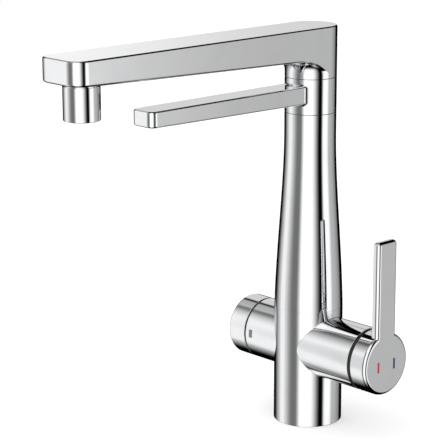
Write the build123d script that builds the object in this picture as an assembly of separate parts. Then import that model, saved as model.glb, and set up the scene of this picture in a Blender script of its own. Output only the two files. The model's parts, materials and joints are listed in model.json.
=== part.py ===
from build123d import *
from math import asin, atan, cos, degrees, radians, sin, sqrt
import os

# Three way filtered water tap. Millimetres, +Z up, origin at the centre of the
# foot on the worktop. Both spouts point along -Y, the mixer lever sits on +X
# and the filter knob on -X.

# ---- sizes that can be set ----
foot_r = 26.0            # lower body
seam_z = 90.3            # top of the lower body
column_height = 148.7
collar_height = 26.5
leg_height = 37.5        # main spout above the collar
column_r = 19.3          # column top, collar and leg
shell_wall = 2.0

spout_reach = 236.5      # column axis to the arm's end
spout_tip_thick = 15.6
spout_root_thick = 22.2
spout_corner = 10.0
spout_wall = 2.0
nozzle_inset = 20.5      # arm's end to the nozzle's axis
nozzle_r = 13.0
nozzle_length = 23.1
neck_gap = 2.6           # dark line between arm and nozzle

filter_reach = 165.0
filter_half_width = 11.0
filter_drop = 5.5        # top of the thin arm below the collar's end
filter_tip_thick = 10.3
filter_root_thick = 12.4
filter_corner = 5.4
filter_wall = 1.5

axis_z = 61.0            # mixer and filter valve axis
neck_r = 23.5
mixer_neck = 62.3        # end of the mixer's side neck
mixer_gap = 3.2          # black ring between neck and handle
handle_face = 80.0       # front of the lever's disc
plate = 3.3              # thickness of that disc
lever_width = 17.3
lever_thick = 6.8
lever_rise = 93.0        # lever's top above the axis
lever_round = 2.9        # rounding all along the lever's front edge
tilt_max = 25.0

filter_neck = 44.6
filter_gap = 1.6
knob_end = 63.3

spout_swing = 70.0       # each way, both spouts
cartridge_r = 17.5       # pocket of a 35 mm cartridge

column_top = seam_z + column_height
collar_top = column_top + collar_height
total_height = collar_top + leg_height
filter_top = collar_top - filter_drop

# ---- fits ----
run = 0.05               # radial play of a turning fit
slip = 0.03              # radial play of an assembled, still fit

os.makedirs("parts", exist_ok=True)


def rod(r, z0, z1):
    return Pos(0, 0, z0) * Cylinder(r, z1 - z0, align=(Align.CENTER, Align.CENTER, Align.MIN))


def ring(outer, inner, z0, z1):
    return rod(outer, z0, z1) - rod(inner, z0 - 1, z1 + 1)


def block(x0, x1, y0, y1, z0, z1):
    return Pos((x0 + x1) / 2, (y0 + y1) / 2, (z0 + z1) / 2) * Box(x1 - x0, y1 - y0, z1 - z0)


def turned(*points):
    """Solid of revolution about Z from (radius, height) points."""
    return revolve(Plane.XZ * make_face(Polyline(*points, close=True)), Axis.Z)


def sealing_ring(mid_r, thick, z):
    """Square ring: its facets stay few, and it fills its groove like a pressed round one."""
    return ring(mid_r + thick / 2, mid_r - thick / 2, z - thick / 2, z + thick / 2)


def mixer(shape):
    """From 'outwards is +Z' to the mixer's side: local z runs along +X, local x along -Z."""
    return Pos(0, 0, axis_z) * Rot(0, 90, 0) * shape


def filter_side(shape):
    """From 'outwards is +Z' to the filter valve's side: local z runs along -X, local x along +Z."""
    return Pos(0, 0, axis_z) * Rot(0, -90, 0) * shape


def along(x0, x1, y, z, r):
    """Drilling parallel to X."""
    return Pos(min(x0, x1), y, z) * Rot(0, 90, 0) * rod(r, 0, abs(x1 - x0))


def save(name, shape):
    solids = shape.solids()
    if len(solids) != 1:
        print(name, "has", len(solids), "solids")
    shape = solids.sort_by(lambda s: s.volume)[-1]
    export_step(shape, f"parts/{name}.step")
    print(f"{name:22s} {shape.volume / 1000:9.3f} cm3")
    return shape


# ---- column line: heights shared by core, seals, collar and leg ----
core_collar_r = column_r - 6.3
core_leg_r = core_collar_r - 2.0
shoulder_z = column_top - 11.0
core_top = total_height - 15.0
washer = 0.3
collar_mid = (column_top + collar_top) / 2
duct_z = filter_top - filter_root_thick / 2
seal_thick = 2.0
collar_seals = (column_top + 4.5, collar_top - 4.5)
spout_seals = (collar_top + 5.5, core_top - 3.5)
stop_r = (core_collar_r + column_r - shell_wall) / 2 + 0.4
stop_pin_r = 1.2
screw_z = (spout_seals[0] + spout_seals[1]) / 2
mixed_x, mixed_r = 4.0, 4.0
filtered_x, filtered_r = -9.0, 2.0
mixed_tube, filtered_tube = 6.0, 3.5     # outside of the two risers
riser_foot = seam_z - 6.3
riser_head = shoulder_z + 8.0
spigot_top = seam_z + 6.5
flare_height = 0.9 * column_height       # straight above that


def swell(share):
    """Widening of the column at a share of the flare, counted down from its top."""
    return (foot_r - column_r) * (2.84 * share ** 2 - 2.25 * share ** 3 + 0.41 * share ** 4)



# ---- mixer line, distances along +X from the column axis ----
pocket_floor = 17.0
cartridge_top = 51.0
nut_top = 57.0
mouth_r = 21.0
tilt_x = 45.0            # the stem's pivot
rim_x = mixer_neck + mixer_gap
cap_inner = 21.9
hub_r = 6.5
stem_r = 4.0
ball_r = 3.0
ball_x = 29.5
seat_x = 21.0            # floor of the cartridge body
disc_thick = 4.0
moving_x = seat_x + disc_thick
moving_thick = 7.0
moving_r = 8.5
ball_travel = (tilt_x - ball_x) * sin(radians(tilt_max))
port = 8.0

# ---- filter valve line, distances along -X ----
valve_floor = 20.0
valve_seat = 34.0
valve_r = 9.1
valve_top = 39.0
spindle_r = 4.0
cavity_r = 20.5
guide_in = 13.5          # guide ring's bore
valve_disc_r = 7.6
head_hex = 12.7          # to its corners
stop_out, stop_in = 9.5, 5.4

# ================= lower body =================
inlets = {"hot": (9.5, -9.5), "cold": (9.5, 9.5), "filtered": (-13.0, 0.0)}
thread_r, thread_depth = 4.5, 12.0
stud_x, stud_y, stud_r, stud_depth = -3.5, 12.5, 2.5, 14.0
supply_z = axis_z - 4.0

spigot_r = column_r + swell(1 - (spigot_top - seam_z) / flare_height) - shell_wall - slip
body = rod(foot_r, 0, seam_z) + rod(spigot_r, seam_z - 1, spigot_top)
body += mixer(rod(neck_r, 0, mixer_neck)) + filter_side(rod(neck_r, 0, filter_neck))
mouth = mixer(rod(neck_r + 1, mixer_neck - 1, mixer_neck + 1) - turned(
    (0, mixer_neck - 1), (neck_r, mixer_neck - 1), (neck_r, mixer_neck - 0.3), (neck_r - 0.3, mixer_neck), (0, mixer_neck)))
body -= mouth
body -= mixer(rod(cartridge_r, pocket_floor, mixer_neck + 1) + rod(mouth_r, cartridge_top, mixer_neck + 1))
body -= filter_side(rod(valve_r, valve_floor, filter_neck + 1) + rod(cavity_r, valve_seat, filter_neck + 1))
for x, y in inlets.values():
    body -= Pos(x, y, 0) * rod(thread_r, -1, thread_depth)
for name in ("hot", "cold"):
    x, y = inlets[name]
    body -= Pos(x, y, 0) * rod(3.0, 1, supply_z + 3)
    body -= along(x, pocket_floor + 1, y, supply_z, 3.0)
x, y = inlets["filtered"]
body -= Pos(x, y, 0) * rod(2.5, 1, axis_z - 2.5)
body -= along(-valve_floor - 1, x, 0, axis_z - 5, 2.5)
body -= along(-valve_floor - 1, filtered_x, 0, axis_z + 5, 2.5)
body -= Pos(filtered_x, 0, 0) * rod(2.5, axis_z + 2.5, riser_foot + 1)
body -= Pos(filtered_x, 0, 0) * rod(filtered_tube + slip, riser_foot, spigot_top + 1)
body -= along(mixed_x, pocket_floor + 1, 0, axis_z + port, mixed_r)
body -= Pos(mixed_x, 0, 0) * rod(mixed_r, axis_z + port - mixed_r, riser_foot + 1)
body -= Pos(mixed_x, 0, 0) * rod(mixed_tube + slip, riser_foot, spigot_top + 1)
for side in (-1, 1):
    body -= Pos(stud_x, side * stud_y, 0) * rod(stud_r, -1, stud_depth)
gasket_groove = ring(foot_r - 1.5, foot_r - 5.5, -1, 1.5)
body -= gasket_groove
mark_depth = 0.3
filter_mark = filter_side(ring(neck_r, neck_r - mark_depth, 37.4, 41.0)) & block(-60, 0, -30, 0, axis_z - 1.9, axis_z + 4.4)
body -= filter_mark
save("base_body", body)
save("filter_mark", filter_mark)
save("foot_gasket", ring(foot_r - 1.5 - slip, foot_r - 5.5 + slip, 0, 1.5))

# ================= column =================
# the flare is one curve: swell() in the form of the five points that pull it
pull = (1.0, 0.8575, 0.4733, 0.0, 0.0)
outline = [(column_r + (foot_r - column_r) * out, seam_z + flare_height * i / 4) for i, out in enumerate(pull)]
outer = Bezier(*outline)
flank = make_face([outer, Line(outline[-1], (column_r, column_top)), Line((column_r, column_top), (0, column_top)),
                   Line((0, column_top), (0, seam_z)), Line((0, seam_z), outline[0])])
inner_points = [(r - shell_wall, z) for r, z in outline]
inner = Bezier(*inner_points)
lip = column_r - shell_wall - 1.8        # the core is pressed down on this
core_line = [inner_points[-1], (column_r - shell_wall, shoulder_z - 6), (lip, shoulder_z - 4), (lip, shoulder_z),
             (column_r - shell_wall, shoulder_z), (column_r - shell_wall, column_top + 1), (0, column_top + 1),
             (0, seam_z - 1), (inner_points[0][0], seam_z - 1), inner_points[0]]
hollow = make_face([inner, Polyline(*core_line)])
shell = revolve(Plane.XZ * flank, Axis.Z) - revolve(Plane.XZ * hollow, Axis.Z)
save("column_shell", shell)

save("mixed_riser", Pos(mixed_x, 0, 0) * ring(mixed_tube, mixed_tube - 1.5, riser_foot, riser_head))
save("filter_riser", Pos(filtered_x, 0, 0) * ring(filtered_tube, filtered_tube - 1.3, riser_foot, riser_head))

core = rod(column_r - shell_wall - slip, shoulder_z, column_top) + rod(core_collar_r, column_top - 1, collar_top)
core += rod(core_leg_r, collar_top - 1, core_top)
core -= Pos(mixed_x, 0, 0) * (rod(mixed_tube + slip, shoulder_z - 1, riser_head) + rod(mixed_r, shoulder_z, core_top + 1))
core -= Pos(filtered_x, 0, 0) * (rod(filtered_tube + slip, shoulder_z - 1, riser_head) + rod(filtered_r, shoulder_z, duct_z))
core -= along(-core_collar_r - 1, filtered_x, 0, duct_z, filtered_r)
core -= ring(core_collar_r + 1, core_collar_r - 1.2, duct_z - 3, duct_z + 3)
for z in collar_seals:
    core -= ring(core_collar_r + 1, core_collar_r - seal_thick + 0.1, z - seal_thick / 2, z + seal_thick / 2)
for z in spout_seals:
    core -= ring(core_leg_r + 1, core_leg_r - seal_thick + 0.1, z - seal_thick / 2, z + seal_thick / 2)
# the spout's screw runs in this part-round groove, which is its end stop
screw_tip_r = 1.5
groove_floor = core_leg_r - 1.5
screw_half = degrees(asin((screw_tip_r + 0.05) / (groove_floor + 0.3)))
groove_half = spout_swing + screw_half + 0.5


def sector(radius, half_angle, z0, z1, middle):
    """Pie slice about Z, half_angle each side of the direction 'middle' in degrees."""
    steps = 12
    rim = [(radius * cos(radians(middle - half_angle + 2 * half_angle * i / steps)),
            radius * sin(radians(middle - half_angle + 2 * half_angle * i / steps))) for i in range(steps + 1)]
    return Pos(0, 0, z0) * extrude(make_face(Polyline((0, 0), *rim, close=True)), z1 - z0)


core -= ring(core_leg_r + 1, groove_floor, screw_z - screw_tip_r - 0.1, screw_z + screw_tip_r + 0.1) & sector(
    2 * core_leg_r, groove_half, screw_z - 2 * screw_tip_r, screw_z + 2 * screw_tip_r, 90)
pin_hole = Pos(0, stop_r, 0) * rod(stop_pin_r, column_top - 4, column_top + 1)
core -= pin_hole
save("swivel_core", core)
save("collar_stop_pin", Pos(0, stop_r, 0) * rod(stop_pin_r, column_top - 4, column_top + washer + 2.2))
for name, z in zip(("collar_seal_low", "collar_seal_high"), collar_seals):
    save(name, sealing_ring(core_collar_r - seal_thick / 2 + 0.1, seal_thick - 0.1, z))
for name, z in zip(("spout_seal_low", "spout_seal_high"), spout_seals):
    save(name, sealing_ring(core_leg_r - seal_thick / 2 + 0.1, seal_thick - 0.1, z))

washer_low = ring(column_r - 0.7, core_collar_r + run, column_top, column_top + washer - 0.05)
save("collar_washer_low", washer_low - Pos(0, stop_r, 0) * rod(stop_pin_r + slip, column_top - 1, column_top + 2))
save("collar_washer_high", ring(column_r - 0.7, core_collar_r + run, collar_top - washer + 0.05, collar_top))

# ================= filter spout =================
collar = ring(column_r, core_collar_r + run, column_top + washer, collar_top - washer)
collar -= Pos(0, 0, duct_z) * Rot(90, 0, 0) * rod(3.4, core_collar_r - 3, column_r + 1)
pin_half = degrees(asin((stop_pin_r + 0.05) / stop_r))
collar -= ring(stop_r + stop_pin_r + 0.15, stop_r - stop_pin_r - 0.15, column_top, column_top + washer + 2.6) & sector(
    2 * column_r, spout_swing + pin_half + 0.5, column_top - 1, column_top + 6, 90)
save("filter_collar", collar)


def plan(half_width, reach, corner):
    """Arm seen from above: straight sides, rounded far corners, half round back on the axis."""
    outline = Polyline((-half_width, 0), (-half_width, -reach), (half_width, -reach), (half_width, 0))
    face = make_face([outline, ThreePointArc((half_width, 0), (0, half_width), (-half_width, 0))])
    far = face.vertices().filter_by(lambda v: abs(v.Y + reach) < 1e-6)
    return fillet(far, corner)


def arm_side(reach, top, tip_thick, root_thick, root_y):
    """Arm seen from the side, as a face: level top, underside rising towards the tip."""
    return make_face(Polyline((-reach - 1, top - tip_thick), (-reach - 1, top), (root_y, top),
                              (root_y, top - root_thick), close=True))


def arm(half_width, reach, corner, profile):
    """Solid that has the given plan from above and the given profile from the side."""
    slab = extrude(plan(half_width, reach, corner), total_height + 10)
    return slab & extrude(Plane.YZ * profile, half_width + 5, both=True)


thin = arm(filter_half_width, filter_reach, filter_corner,
           arm_side(filter_reach, filter_top, filter_tip_thick, filter_root_thick, 0))
thin = fillet(thin.faces().sort_by(Axis.Z)[-1].edges().filter_by(lambda e: e.center().Y < -1), 1.0)
thin = fillet(thin.faces().sort_by(Axis.Z)[0].edges().filter_by(lambda e: e.center().Y < -1), 1.0)
thin -= rod(column_r, column_top, collar_top)
thin -= arm(filter_half_width - filter_wall, filter_reach - filter_wall, filter_corner - filter_wall,
            arm_side(filter_reach, filter_top - filter_wall, filter_tip_thick - 2 * filter_wall,
                     filter_root_thick - 2 * filter_wall, -column_r - 2))
thin -= Pos(0, 0, duct_z) * Rot(90, 0, 0) * rod(3.4, column_r - 2, column_r + 6)
outlet_y = -filter_reach + 9.0
outlet_under = filter_top - filter_tip_thick
thin -= Pos(0, outlet_y, 0) * rod(5.0, outlet_under - 4, filter_top - 5)
save("filter_spout", thin)
outlet = Pos(0, outlet_y, 0) * (ring(5.0 - slip, 3.6, outlet_under - 0.6, outlet_under + 3)
                                + block(-4, 4, -0.5, 0.5, outlet_under, outlet_under + 2)
                                + block(-0.5, 0.5, -4, 4, outlet_under, outlet_under + 2))
save("filter_outlet", outlet)

# ================= main spout =================
underside = total_height - spout_root_thick
spout_slope = (spout_root_thick - spout_tip_thick) / (spout_reach + 1)
web_r = 7.5             # the underside runs into the leg in this curve
profile = make_face(Polyline((-spout_reach - 1, total_height - spout_tip_thick), (0, underside), (0, collar_top),
                             (column_r + 1, collar_top), (column_r + 1, total_height),
                             (-spout_reach - 1, total_height), close=True))
inner_corner = profile.vertices().filter_by(lambda v: abs(v.X) < 1e-6 and abs(v.Y - underside) < 1e-6)
spout = arm(column_r, spout_reach, spout_corner, fillet(inner_corner, web_r))
below = spout.faces().filter_by(lambda f: f.normal_at().Z < -0.9).sort_by(lambda f: f.area)[-1]
spout = fillet(below.edges().filter_by(lambda e: e.center().Y < -web_r - 2), 1.0)
spout += rod(column_r, collar_top, total_height - 2)
spout = fillet(spout.faces().sort_by(Axis.Z)[-1].edges(), 1.2)
nozzle_y = -spout_reach + nozzle_inset
nozzle_top = total_height - spout_tip_thick - spout_slope * (nozzle_inset + nozzle_r + 1)
socket_r = nozzle_r - 2.0
nozzle_bore = socket_r - 2.5
waterway = arm(column_r - spout_wall, spout_reach - spout_wall, spout_corner - spout_wall,
               arm_side(spout_reach, total_height - spout_wall, spout_tip_thick - 2 * spout_wall,
                        spout_root_thick - 2 * spout_wall, -column_r - 3))
waterway += rod(column_r - spout_wall, core_top + 2, total_height - spout_wall)
waterway += block(-column_r + 4, column_r - 4, -column_r - 4, 0, core_top + 2, total_height - spout_wall)
boss = Pos(0, nozzle_y, 0) * rod(socket_r + 2.5, nozzle_top - 3, nozzle_top + 5.5)
waterway -= boss
spout -= waterway
spout -= Pos(0, nozzle_y, 0) * rod(socket_r, nozzle_top - 5, nozzle_top + 6)
bush_r = core_leg_r + 3.0
spout -= rod(bush_r, collar_top - 1, core_top + 1)
spout -= rod(core_leg_r + run, core_top, core_top + 3)
screw_r = 2.5
screw_way = Pos(0, 0, screw_z) * Rot(-90, 0, 0) * rod(screw_r, core_leg_r, column_r + 1)
spout -= screw_way
save("main_spout", spout)
save("spout_bush", ring(bush_r - slip, core_leg_r + run, collar_top, core_top + 0.8)
     - Pos(0, 0, screw_z) * Rot(-90, 0, 0) * rod(screw_r, core_leg_r - 2, bush_r + 1))
spout_screw = rod(screw_tip_r, groove_floor + 0.3, core_leg_r + 1) + rod(screw_r - slip, core_leg_r + 0.6, column_r - 1.2)
spout_screw -= Pos(0, 0, column_r - 3) * extrude(RegularPolygon(1.25, 6), 4)
save("spout_screw", Pos(0, 0, screw_z) * Rot(-90, 0, 0) * spout_screw)

nozzle_low = nozzle_top - neck_gap - nozzle_length
nozzle_shoulder = nozzle_top - neck_gap
thread_top = nozzle_top + 4.5
nozzle = turned((nozzle_r - 2.2, nozzle_low), (nozzle_r - 0.5, nozzle_low), (nozzle_r, nozzle_low + 0.5),
                (nozzle_r, nozzle_shoulder - 0.4), (nozzle_r - 0.4, nozzle_shoulder),
                (socket_r - slip, nozzle_shoulder), (socket_r - slip, thread_top), (nozzle_bore, thread_top),
                (nozzle_bore, nozzle_low + 15), (nozzle_r - 2.2, nozzle_low + 15))
save("aerator_housing", Pos(0, nozzle_y, 0) * nozzle)
save("aerator_washer", Pos(0, nozzle_y, 0) * ring(nozzle_r - 1.2, socket_r, nozzle_shoulder, nozzle_top - 0.1))
insert_r = nozzle_r - 2.2 - slip
insert = rod(insert_r, nozzle_low + 1, nozzle_low + 12)
insert -= rod(insert_r - 1.2, nozzle_low, nozzle_low + 2.5)
insert -= rod(insert_r - 1.2, nozzle_low + 6, nozzle_low + 13)
pitch = insert_r / 3.17
holes = [(0, 0)] + [(pitch * cos(radians(60 * i)), pitch * sin(radians(60 * i))) for i in range(6)]
holes += [(2 * pitch * cos(radians(30 * i)), 2 * pitch * sin(radians(30 * i))) for i in range(12)]
for hx, hy in holes:
    insert -= Pos(hx, hy, nozzle_low) * extrude(RegularPolygon(0.38 * pitch, 6), 8)
save("aerator_insert", Pos(0, nozzle_y, 0) * insert)
save("aerator_seal", Pos(0, nozzle_y, 0) * ring(insert_r, nozzle_bore, nozzle_low + 12, nozzle_low + 14.8))

# ================= mixer cartridge =================
supply = [(4.0, -9.5), (4.0, 9.5)]       # local x runs down, so the supplies sit below the axis


def port_holes(z0, z1, r):
    cut = Pos(-port, 0, 0) * rod(r + 0.6, z0, z1)
    for px, py in supply:
        cut += Pos(px, py, 0) * rod(r, z0, z1)
    return cut


save("cartridge_seal", mixer(rod(cartridge_r - 0.6, pocket_floor, pocket_floor + 1) - port_holes(pocket_floor - 1, pocket_floor + 2, 3.0)))
bore_r = cartridge_r - 2.1
cartridge = rod(cartridge_r - slip, pocket_floor + 1, cartridge_top - 1.8) - rod(bore_r, seat_x, cartridge_top)
cartridge -= port_holes(pocket_floor, seat_x + 1, 2.8)
save("cartridge_body", mixer(cartridge))
save("cartridge_cover", mixer(ring(cartridge_r - slip, 12.5, cartridge_top - 1.8, cartridge_top)))
save("cartridge_nut", mixer(ring(mouth_r - slip, 13.0, cartridge_top, nut_top) - ring(mouth_r - 3, 15, nut_top - 2, nut_top + 1)
                            + ring(16.5, 13.0, nut_top - 3, nut_top)))
save("fixed_disc", mixer(rod(bore_r - slip, seat_x, moving_x) - port_holes(seat_x - 1, moving_x + 1, 2.6)))
# shut, the moving disc lies half its travel below the axis
moving = Pos(ball_travel / 2, 0, 0) * rod(moving_r, moving_x, moving_x + moving_thick)
moving -= rod(ball_r + 0.12, moving_x + 1, moving_x + moving_thick + 1)
save("moving_disc", mixer(moving))

turret_low = moving_x + moving_thick + 0.3
turret_top = cartridge_top - 1.9
turret = rod(bore_r - run, turret_low, turret_top)
turret -= block(-10.5, 10.5, -3.7, 3.7, turret_low - 1, cartridge_top)
pin_r = 1.5
turret -= Pos(0, 0, tilt_x) * Rot(90, 0, 0) * rod(pin_r, -20, 20)
save("turret", mixer(turret))
save("turret_pin", mixer(Pos(0, 0, tilt_x) * Rot(90, 0, 0) * rod(pin_r, -bore_r + 2, bore_r - 2)))

stem_end = handle_face - plate - 5.5
stem = Pos(0, 0, ball_x) * Sphere(ball_r)
lean = radians(tilt_max)
shaft_x = tilt_x + (turret_top + 0.2 - tilt_x + stem_r * sin(lean)) / cos(lean)   # round above the turret's slot
stem += rod(2.2, ball_x, tilt_x - 8) + block(-4, 4, -3.65, 3.65, tilt_x - 9, shaft_x + 0.1)
stem += rod(stem_r, shaft_x, stem_end)
stem -= Pos(0, 0, tilt_x) * Rot(90, 0, 0) * rod(pin_r + run, -10, 10)
save("stem", mixer(stem))

# ball-shaped guard about the stem's pivot: the cap's rim sweeps just outside it
guard_r = sqrt((rim_x - tilt_x) ** 2 + cap_inner ** 2) - 1.5
guard_in = guard_r - 1.5
skirt_r = mouth_r - slip
edge = degrees(asin(skirt_r / guard_r))
opening = tilt_max + degrees(asin(hub_r / guard_in)) + 2.0


def ball_point(radius, angle):
    return (radius * sin(radians(angle)), tilt_x + radius * cos(radians(angle)))


arc = [ball_point(guard_r, edge + (opening - edge) * i / 6) for i in range(7)]
back = [ball_point(guard_in, opening + (degrees(asin((skirt_r - 1.5) / guard_in)) - opening) * i / 6) for i in range(7)]
flange = ((skirt_r, mixer_neck), (neck_r - 0.4, mixer_neck), (neck_r - 0.4, mixer_neck + 1.1), (neck_r - 1.6, mixer_neck + 2.3))
save("trim_dome", mixer(turned((skirt_r, nut_top), *flange, *arc, *back, (skirt_r - 1.5, nut_top))))

# ================= mixer handle =================
cap_face = handle_face - plate
cap_floor = guard_r + tilt_x + 1.2
cap = rod(neck_r, rim_x, cap_face) - rod(cap_inner, rim_x - 1, cap_floor)
cap += rod(hub_r, rim_x - 1.5, cap_floor + 0.5)
cap -= rod(stem_r + slip, rim_x - 3, stem_end)
screw_at = rim_x + 2.5
cap -= Pos(0, 0, screw_at) * Rot(0, 90, 0) * (rod(2.0, 0, hub_r + 1) + rod(1.9, cap_inner - 1, neck_r + 1))
save("handle_cap", mixer(cap))
handle_screw = rod(2.0 - slip, stem_r, hub_r + 0.6) - Pos(0, 0, hub_r - 1.4) * extrude(RegularPolygon(1.0, 6), 3)
save("handle_screw", mixer(Pos(0, 0, screw_at) * Rot(0, 90, 0) * handle_screw))
plug = rod(1.9 - slip, cap_inner - 0.2, neck_r + 1) & Rot(0, -90, 0) * rod(neck_r, -5, 5)
save("handle_plug", mixer(Pos(0, 0, screw_at) * Rot(0, 90, 0) * plug))

# local x runs down, so the paddle rises towards -x. Disc and paddle share one outline, with a crook where they meet,
# and one rounding all along the front edge
half, crook, tip = lever_width / 2, 1.0, lever_round + 0.3
bend = sqrt((neck_r + crook) ** 2 - (half + crook) ** 2)     # height of the crook's centre
bend_at = degrees(asin((half + crook) / (neck_r + crook)))
side = [Line((-lever_rise, 0), (-lever_rise, half - tip)), CenterArc((-lever_rise + tip, half - tip), tip, 180, -90),
        Line((-lever_rise + tip, half), (-bend, half)), CenterArc((-bend, half + crook), crook, -90, 90 - bend_at),
        CenterArc((0, 0), neck_r, 0, 180 - bend_at)]
front = Pos(0, 0, cap_face) * extrude(make_face(side + [mirror(edge, Plane.XZ) for edge in side]), plate)
lever = fillet(front.faces().sort_by(Axis.Z)[-1].edges(), lever_round)
paddle = block(-lever_rise, -neck_r, -half, half, handle_face - lever_thick, cap_face)
paddle += block(-neck_r, -neck_r + 6, -half, half, handle_face - lever_thick, cap_face)
paddle = fillet(paddle.edges().filter_by(Axis.Z).sort_by(Axis.X)[:2], tip)
paddle = fillet(paddle.faces().sort_by(Axis.Z)[0].edges().sort_by(Axis.X)[:-1], 0.8)
lever += paddle - rod(neck_r + slip, rim_x - 5, cap_face + 1)
mark_y, mark_h, mark_w = 8.5, 8.2, 2.1
marks = {}
for name, sgn in (("hot_mark", -1), ("cold_mark", 1)):
    marks[name] = block(1 - mark_h / 2, 1 + mark_h / 2, sgn * mark_y - mark_w / 2, sgn * mark_y + mark_w / 2,
                        handle_face - mark_depth, handle_face)
    lever -= marks[name]
save("lever", mixer(lever))
for name, bar in marks.items():
    save(name, mixer(bar))

# ================= filter valve =================
vent = Pos(-5, 0, 0) * rod(2.0, 0, knob_end) + Pos(5, 0, 0) * rod(2.0, 0, knob_end)
save("filter_seal", filter_side(rod(valve_r - 0.4, valve_floor, valve_floor + 1.2) - vent))
head = rod(valve_r - slip, valve_floor + 1.2, valve_seat) + extrude(Pos(0, 0, valve_seat) * RegularPolygon(head_hex, 6), valve_top - valve_seat)
head -= rod(valve_disc_r, valve_floor, valve_floor + 11) + rod(spindle_r + run, valve_floor, valve_top + 1)
knob_turn = 90.0
tab_half = degrees(asin(1.5 / 5.5))
stop = ring(stop_out, stop_in, valve_top, valve_top + 2) - sector(2 * stop_out, knob_turn / 2 + tab_half + 1, valve_top - 1, valve_top + 3, 0)
head += stop
save("filter_headwork", filter_side(head))
disc_a, disc_b = valve_floor + 1.2, valve_floor + 4.2
save("filter_fixed_disc", filter_side(rod(valve_disc_r - slip, disc_a, disc_b) - vent))
moving_valve = rod(valve_disc_r - run, disc_b, disc_b + 3) - block(-6.6, 6.6, -1.9, 1.9, disc_b - 1, disc_b + 1.8)
save("filter_moving_disc", filter_side(Rot(0, 0, -knob_turn) * moving_valve))
spindle = rod(valve_disc_r - run, disc_b + 3, disc_b + 6.5) + rod(spindle_r, disc_b + 6, knob_end - 7)
spindle -= ring(spindle_r + 1, spindle_r - 0.8, valve_top - 3, valve_top - 1.4)
tab = Rot(0, 0, -knob_turn / 2) * block(0, stop_out - 0.5, -1.5, 1.5, valve_top + 0.1, valve_top + 2)
save("filter_spindle", filter_side(spindle + tab))
save("spindle_seal", filter_side(ring(spindle_r + 0.02, spindle_r - 0.8, valve_top - 2.9, valve_top - 1.5)))
save("knob_guide_ring", filter_side(ring(cavity_r - slip, guide_in, valve_seat, filter_neck)
                                    + ring(neck_r - 1.9, guide_in, filter_neck, filter_neck + filter_gap - 0.1)))
knob_rim = filter_neck + filter_gap
knob = rod(neck_r, knob_rim, knob_end)
knob = fillet(knob.faces().sort_by(Axis.Z)[-1].edges(), 1.6)
knob = fillet(knob.faces().sort_by(Axis.Z)[0].edges(), 0.4)
knob -= rod(neck_r - 2.5, knob_rim - 1, knob_end - 3.5)
knob += rod(hub_r, knob_rim + 1.5, knob_end - 3)
knob -= rod(spindle_r + slip, knob_rim, knob_end - 6.5)
knob_screw_at = knob_rim + 5.5
knob -= Pos(0, 0, knob_screw_at) * Rot(0, -90, 0) * (rod(2.0, 0, hub_r + 1) + rod(1.9, neck_r - 4, neck_r + 1))
save("filter_knob", filter_side(knob))
knob_screw = rod(2.0 - slip, spindle_r, hub_r + 0.6) - Pos(0, 0, hub_r - 1.4) * extrude(RegularPolygon(1.0, 6), 3)
save("knob_screw", filter_side(Pos(0, 0, knob_screw_at) * Rot(0, -90, 0) * knob_screw))
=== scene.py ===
import json
import math

import bpy
import numpy as np
from mathutils import Matrix, Vector
from mathutils.geometry import delaunay_2d_cdt


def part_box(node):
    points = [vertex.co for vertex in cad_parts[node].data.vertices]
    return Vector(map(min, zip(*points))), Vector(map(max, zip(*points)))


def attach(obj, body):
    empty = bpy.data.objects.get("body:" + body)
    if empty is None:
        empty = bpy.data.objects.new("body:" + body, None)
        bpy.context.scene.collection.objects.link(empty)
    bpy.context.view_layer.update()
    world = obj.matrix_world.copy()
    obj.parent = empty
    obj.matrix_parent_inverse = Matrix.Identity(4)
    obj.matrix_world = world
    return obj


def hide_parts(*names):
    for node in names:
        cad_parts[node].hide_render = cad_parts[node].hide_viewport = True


# Three way filtered water tap. Lengths are millimetres until a mesh is written.
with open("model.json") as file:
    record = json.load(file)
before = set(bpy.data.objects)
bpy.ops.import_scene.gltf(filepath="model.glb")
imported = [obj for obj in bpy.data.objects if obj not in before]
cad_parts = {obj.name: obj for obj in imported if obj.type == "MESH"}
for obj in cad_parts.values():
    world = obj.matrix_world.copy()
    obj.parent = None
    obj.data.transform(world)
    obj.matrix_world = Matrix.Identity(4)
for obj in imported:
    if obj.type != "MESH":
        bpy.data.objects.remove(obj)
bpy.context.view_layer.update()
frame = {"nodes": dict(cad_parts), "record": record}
mm = 0.001
deg = math.pi / 180
print("frame loaded:", len(frame["nodes"]), "nodes")


def nodeBox(node):  # lowest and highest corner of a node
    return [np.round(np.array(corner) / mm, 3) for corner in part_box(node)]


def addObject(name, data):  # to the scene
    made = bpy.data.objects.new(name, data)
    bpy.context.scene.collection.objects.link(made)
    return made


# ---------- shader graphs ----------
class Wire:
    # an output socket that takes part in Python arithmetic: each operator adds a Math node
    def __init__(self, graph, socket):
        self.graph = graph
        self.socket = socket

    def math(self, operation, first, second):
        return self.graph.node("Math", {"operation": operation}, {0: first, 1: second})

    def __add__(self, other):
        return self.math("ADD", self, other)

    def __radd__(self, other):
        return self.math("ADD", other, self)

    def __sub__(self, other):
        return self.math("SUBTRACT", self, other)

    def __rsub__(self, other):
        return self.math("SUBTRACT", other, self)

    def __mul__(self, other):
        return self.math("MULTIPLY", self, other)

    def __rmul__(self, other):
        return self.math("MULTIPLY", other, self)

    def __truediv__(self, other):
        return self.math("DIVIDE", self, other)


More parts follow.
